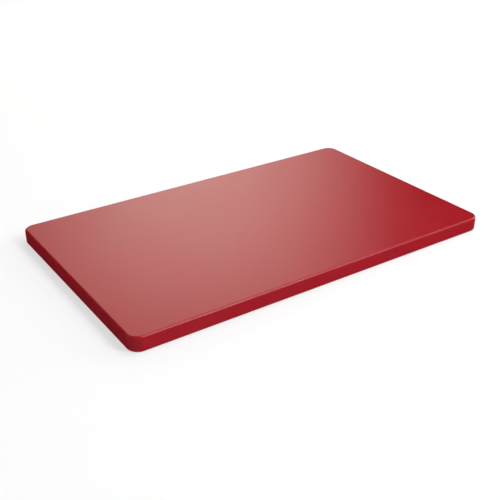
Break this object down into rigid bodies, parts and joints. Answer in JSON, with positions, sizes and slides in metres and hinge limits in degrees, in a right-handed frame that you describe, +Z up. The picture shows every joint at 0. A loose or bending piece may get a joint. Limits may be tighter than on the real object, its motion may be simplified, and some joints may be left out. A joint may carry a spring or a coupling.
{
  "type": "cutting board",
  "caption": "Rectangular reversible cutting board: a solid plastic slab with rounded corners and softly rounded rims on both faces.",
  "frame": {"origin": "centre of the lower face, on the surface that the board lies on", "axes": "+X along the length, +Y across the width, +Z up through the thickness to the upper face"},
  "size_m": [0.53, 0.325, 0.02],
  "materials": {
    "polyethylene": "satin"
  },
  "bodies": {
    "root": {"board": "polyethylene"}
  },
  "joints": []
}
